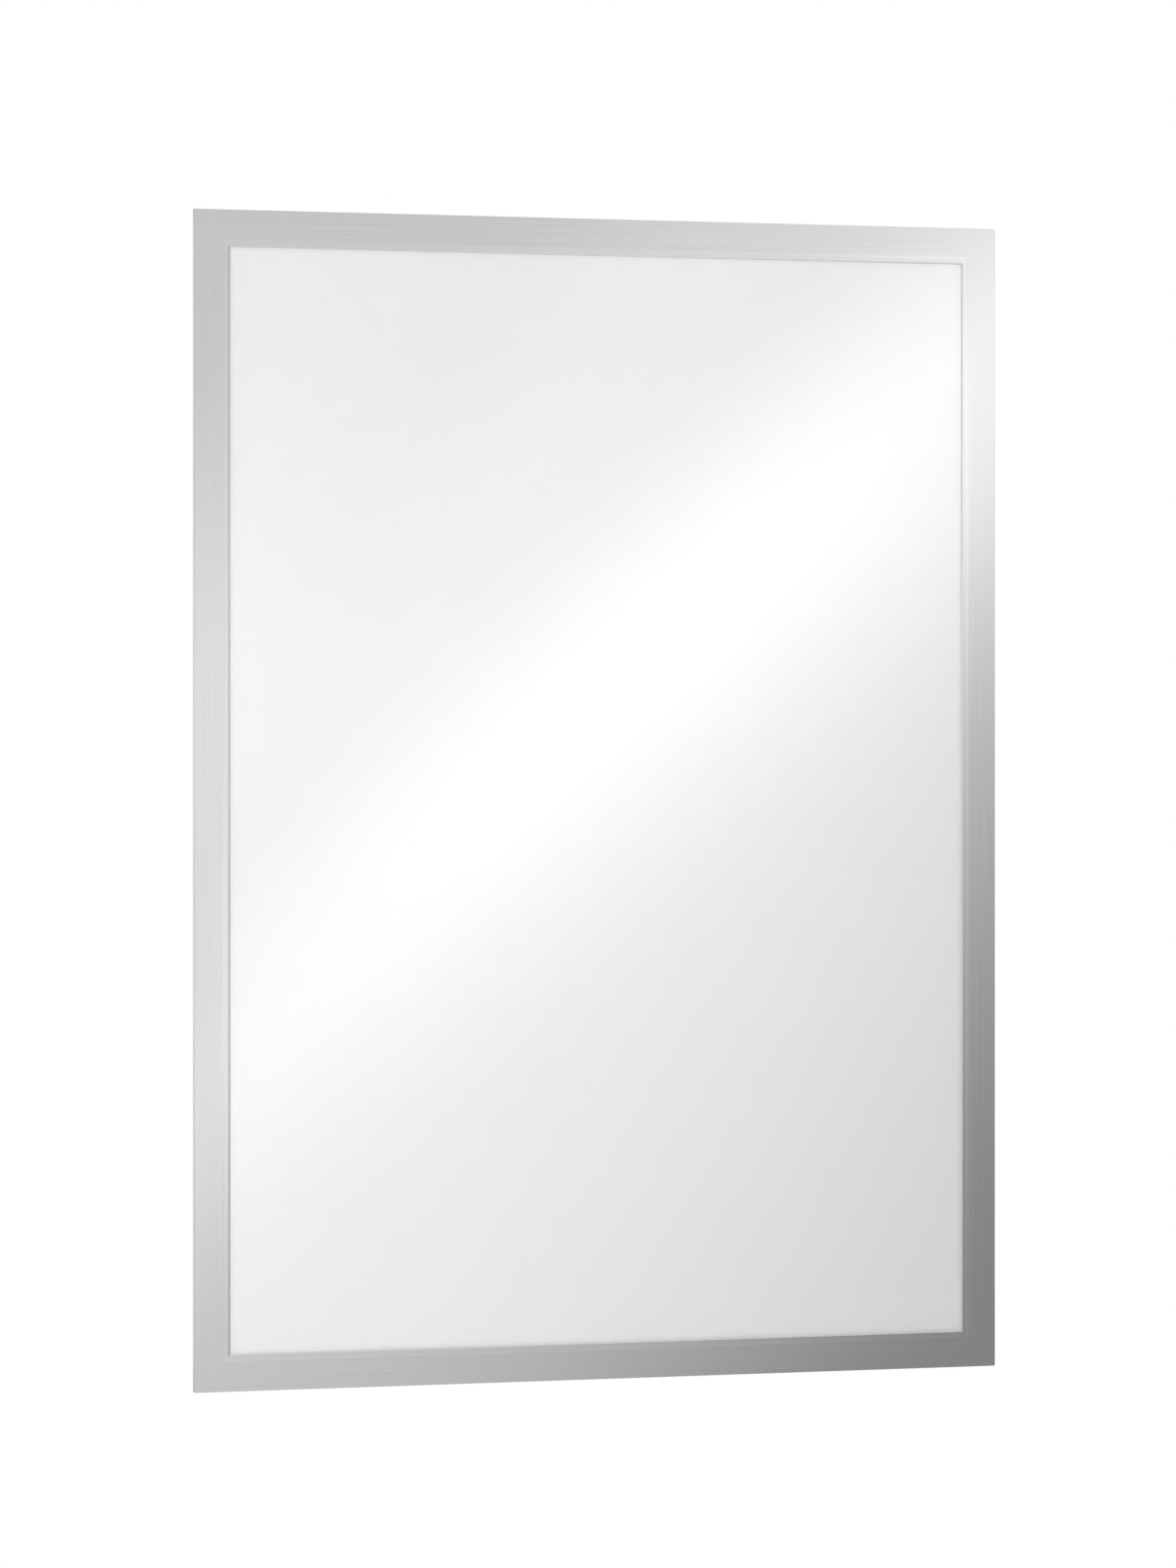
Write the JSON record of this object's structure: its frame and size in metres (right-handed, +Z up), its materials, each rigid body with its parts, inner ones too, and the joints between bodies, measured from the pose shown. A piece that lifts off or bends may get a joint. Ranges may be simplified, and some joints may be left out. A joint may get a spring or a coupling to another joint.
{
  "type": "magnetic poster frame",
  "caption": "Flat self-adhesive poster frame with a clear front cover and silver border that fold open like a book on a film hinge and close on magnet strips.",
  "frame": {"origin": "the middle of the top tape's sticky face, which lies on the wall", "axes": "+X to the right as seen from the front, +Y into the wall, +Z up; the viewer is at -Y"},
  "size_m": [0.5383, 0.0025, 0.738],
  "materials": {
    "silver_print": "satin",
    "clear_film": "gloss",
    "magnet_rubber": "matte",
    "sticky_tape": "satin",
    "white_paper": "matte"
  },
  "bodies": {
    "back_panel": {"wall_tape_top": "sticky_tape", "wall_tape_bottom": "sticky_tape", "wall_tape_left": "sticky_tape", "wall_tape_right": "sticky_tape", "back_sheet": "clear_film", "rear_magnet_left": "magnet_rubber", "rear_magnet_right": "magnet_rubber", "rear_magnet_top": "magnet_rubber", "rear_magnet_bottom": "magnet_rubber", "poster_sheet": "white_paper", "hinge_rear_leaf": "silver_print"},
    "front_cover": {"front_magnet_left": "magnet_rubber", "front_magnet_right": "magnet_rubber", "front_magnet_top": "magnet_rubber", "front_magnet_bottom": "magnet_rubber", "window_film": "clear_film", "silver_border": "silver_print", "hinge_front_leaf": "silver_print"}
  },
  "joints": [
    {"name": "cover_hinge", "type": "hinge", "parent": "back_panel", "child": "front_cover", "pos_m": [-0.2693, -0.00133, -0.36], "axis": [0, 0, -1], "range_deg": [0, 170]}
  ]
}
